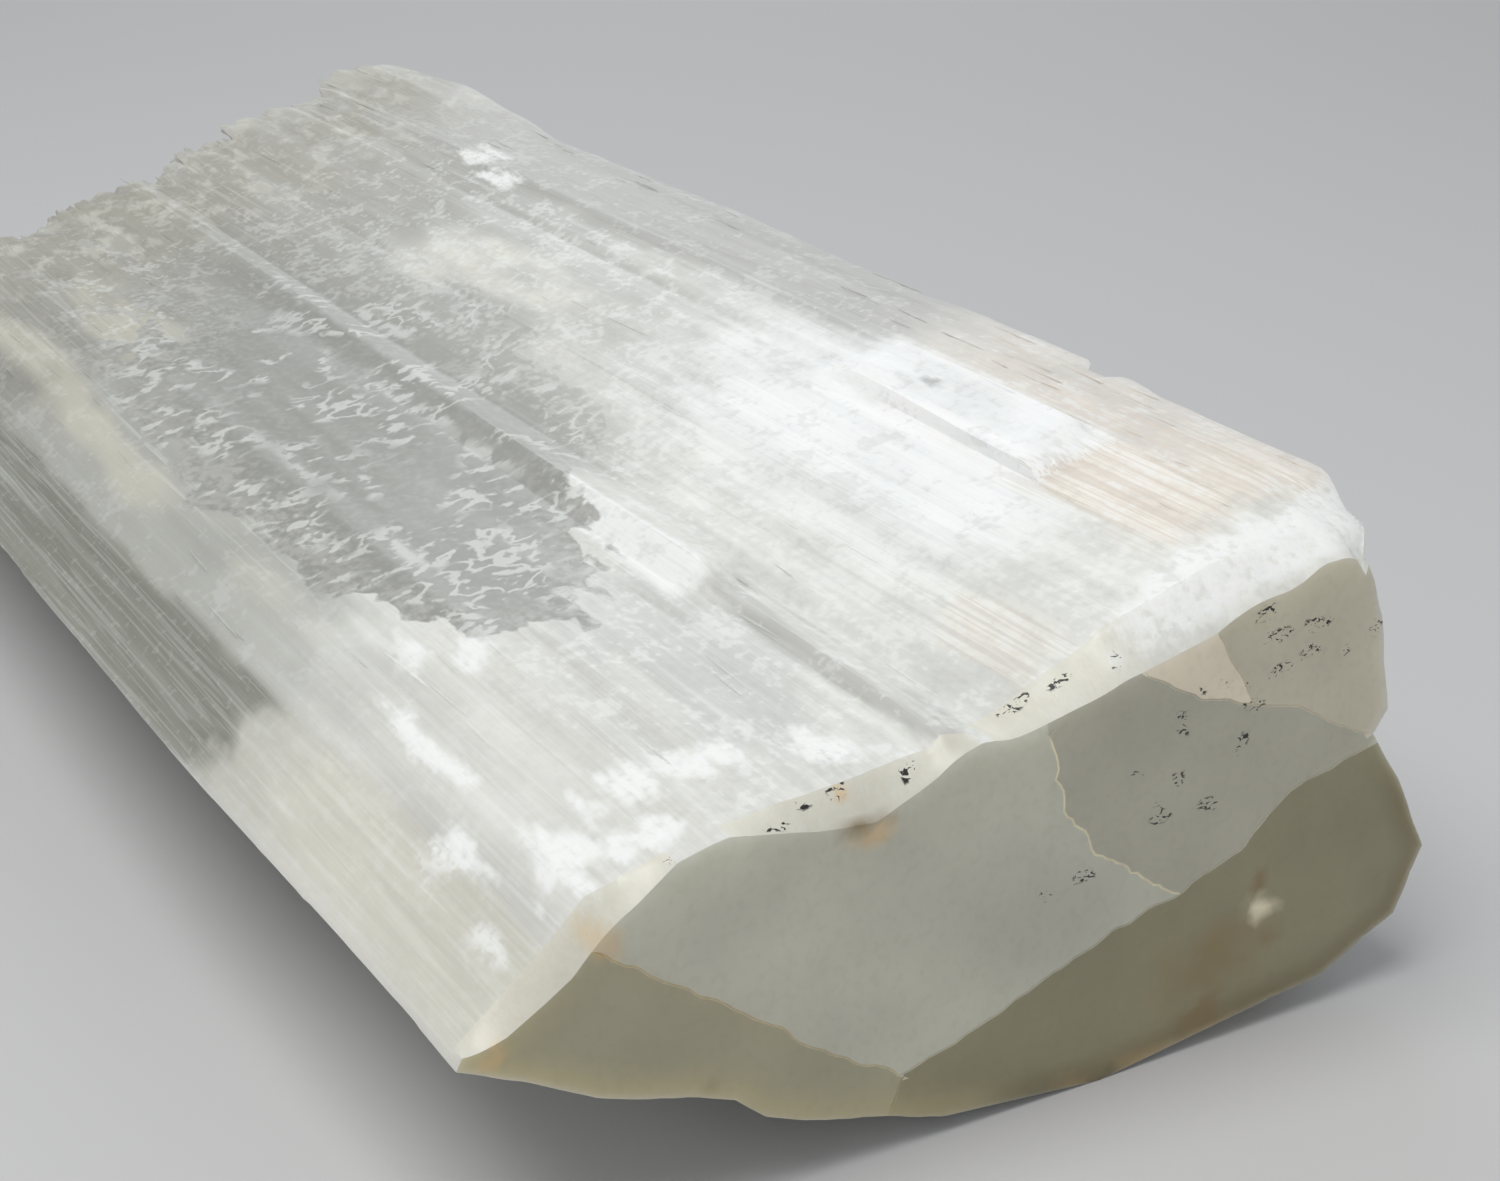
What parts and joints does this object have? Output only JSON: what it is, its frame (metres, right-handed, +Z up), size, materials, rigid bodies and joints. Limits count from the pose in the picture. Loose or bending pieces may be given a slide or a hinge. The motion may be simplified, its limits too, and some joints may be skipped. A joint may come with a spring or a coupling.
{
  "type": "selenite block",
  "caption": "Block of milky white selenite: long parallel gypsum blades grown together, sawn flat at one end and broken ragged at the other.",
  "frame": {"origin": "on the resting face, under the middle of the block's bounding box", "axes": "+Y along the blades from the sawn end to the broken end, +X across them to the thicker side, +Z up from the resting face"},
  "size_m": [0.0888, 0.2152, 0.045],
  "materials": {
    "satin_stone": "milky white and pearly, silky along the blades, duller grey on the sawn end"
  },
  "bodies": {
    "root": {"selenite": "satin_stone"}
  },
  "joints": []
}
